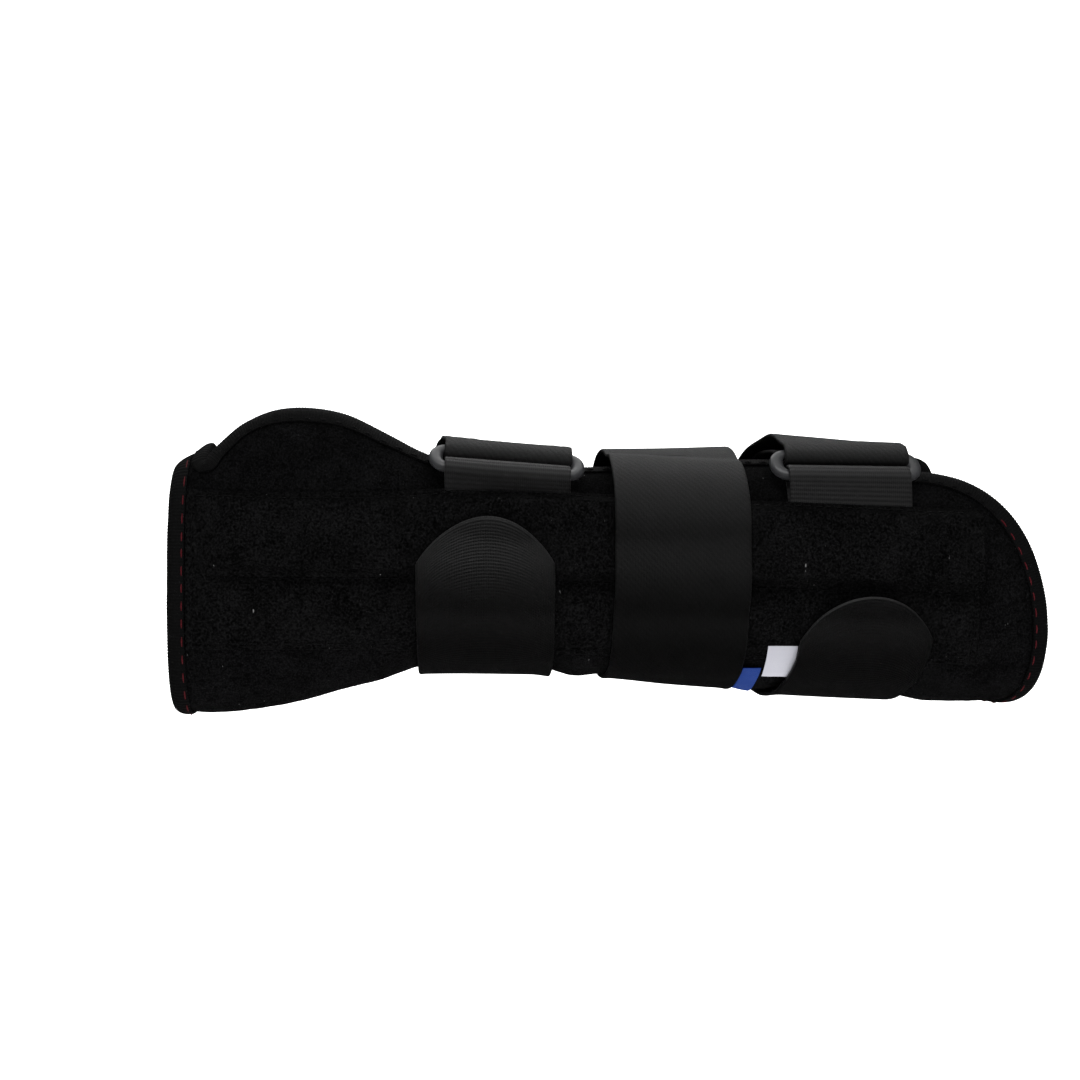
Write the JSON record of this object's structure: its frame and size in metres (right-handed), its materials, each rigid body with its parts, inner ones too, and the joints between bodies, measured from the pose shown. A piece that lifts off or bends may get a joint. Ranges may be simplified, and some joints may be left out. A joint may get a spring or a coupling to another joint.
{
  "type": "wrist splint",
  "caption": "Long padded wrist and forearm wrap with a thumb hole, stays along the palm side and the back, ring straps and a wide middle strap.",
  "frame": {"origin": "on the axis of the wearer's forearm, at the wrist crease", "axes": "+X along the forearm from the hand to the elbow, +Z to the thumb side, -Y to the palm side"},
  "size_m": [0.263, 0.0726, 0.0933],
  "materials": {
    "cover": "matte",
    "lining": "matte",
    "foam": "matte",
    "binding": "matte",
    "loop_pile": "matte",
    "strap_webbing": "matte",
    "tab_elastic": "matte",
    "hook_tape": "matte",
    "ring_plastic": "satin",
    "aluminium_stay": "satin",
    "plastic_stay": "satin",
    "blue_label": "satin",
    "white_label": "matte"
  },
  "bodies": {
    "wrap": {"inner_lining": "lining", "foam_core": "foam", "outer_cover": "cover", "hand_binding": "binding", "slit_binding": "binding", "palm_panel": "loop_pile", "back_pocket": "loop_pile", "distal_ring_tab": "tab_elastic", "distal_strap_base": "strap_webbing", "distal_strap_run": "strap_webbing", "proximal_ring_tab": "tab_elastic", "proximal_strap_base": "strap_webbing", "proximal_strap_run": "strap_webbing", "middle_strap_base": "strap_webbing", "size_label": "blue_label", "care_label": "white_label"},
    "palm_stay": {"palm_stay": "aluminium_stay"},
    "back_stay": {"back_stay": "plastic_stay"},
    "distal_ring": {"distal_ring": "ring_plastic", "distal_strap_fold": "strap_webbing"},
    "proximal_ring": {"proximal_ring": "ring_plastic", "proximal_strap_fold": "strap_webbing"},
    "distal_side": {"distal_strap_side": "strap_webbing"},
    "distal_tab": {"distal_strap_tab": "strap_webbing", "distal_hook_patch": "hook_tape"},
    "proximal_side": {"proximal_strap_side": "strap_webbing"},
    "proximal_tab": {"proximal_strap_tab": "strap_webbing", "proximal_hook_patch": "hook_tape"},
    "middle_bridge": {"middle_strap_bridge": "strap_webbing"},
    "middle_tab": {"middle_strap_tab": "strap_webbing", "middle_hook_patch": "hook_tape"}
  },
  "joints": [
    {"name": "palm_stay_slide", "type": "slide", "parent": "wrap", "child": "palm_stay", "axis": [0.9989, -0.037, -0.0271], "range_m": [0, 0.2]},
    {"name": "back_stay_slide", "type": "slide", "parent": "wrap", "child": "back_stay", "axis": [0.9984, 0.0539, -0.0142], "range_m": [0, 0.17]},
    {"name": "distal_ring_swing", "type": "hinge", "parent": "wrap", "child": "distal_ring", "pos_m": [0.01608, -0.02322, 0.02887], "axis": [0.9976, -0.0009, -0.0689], "range_deg": [0, 25]},
    {"name": "proximal_ring_swing", "type": "hinge", "parent": "wrap", "child": "proximal_ring", "pos_m": [0.11834, -0.02613, 0.028], "axis": [0.9989, -0.0457, -0.0104], "range_deg": [0, 25]},
    {"name": "distal_strap_peel", "type": "hinge", "parent": "wrap", "child": "distal_side", "pos_m": [0.01252, 0.02987, -0.01706], "axis": [0.9734, -0.0213, -0.2281], "range_deg": [0, 80]},
    {"name": "distal_tab_peel", "type": "hinge", "parent": "distal_side", "child": "distal_tab", "pos_m": [0.01058, -0.00432, -0.03457], "axis": [0.9965, -0.0793, -0.0248], "range_deg": [0, 150]},
    {"name": "proximal_strap_peel", "type": "hinge", "parent": "wrap", "child": "proximal_side", "pos_m": [0.1136, 0.03595, -0.01662], "axis": [0.9873, 0.0212, -0.1573], "range_deg": [0, 80]},
    {"name": "proximal_tab_peel", "type": "hinge", "parent": "proximal_side", "child": "proximal_tab", "pos_m": [0.11812, -0.00521, -0.04314], "axis": [0.9962, -0.0791, -0.0353], "range_deg": [0, 150]},
    {"name": "middle_strap_peel", "type": "hinge", "parent": "wrap", "child": "middle_bridge", "pos_m": [0.0668, -0.01578, 0.03545], "axis": [0.9958, -0.0913, -0.0005], "range_deg": [0, 80]},
    {"name": "middle_tab_peel", "type": "hinge", "parent": "middle_bridge", "child": "middle_tab", "pos_m": [0.0668, 0.02754, 0.02284], "axis": [0.9821, -0.1105, 0.1527], "range_deg": [0, 150]}
  ]
}
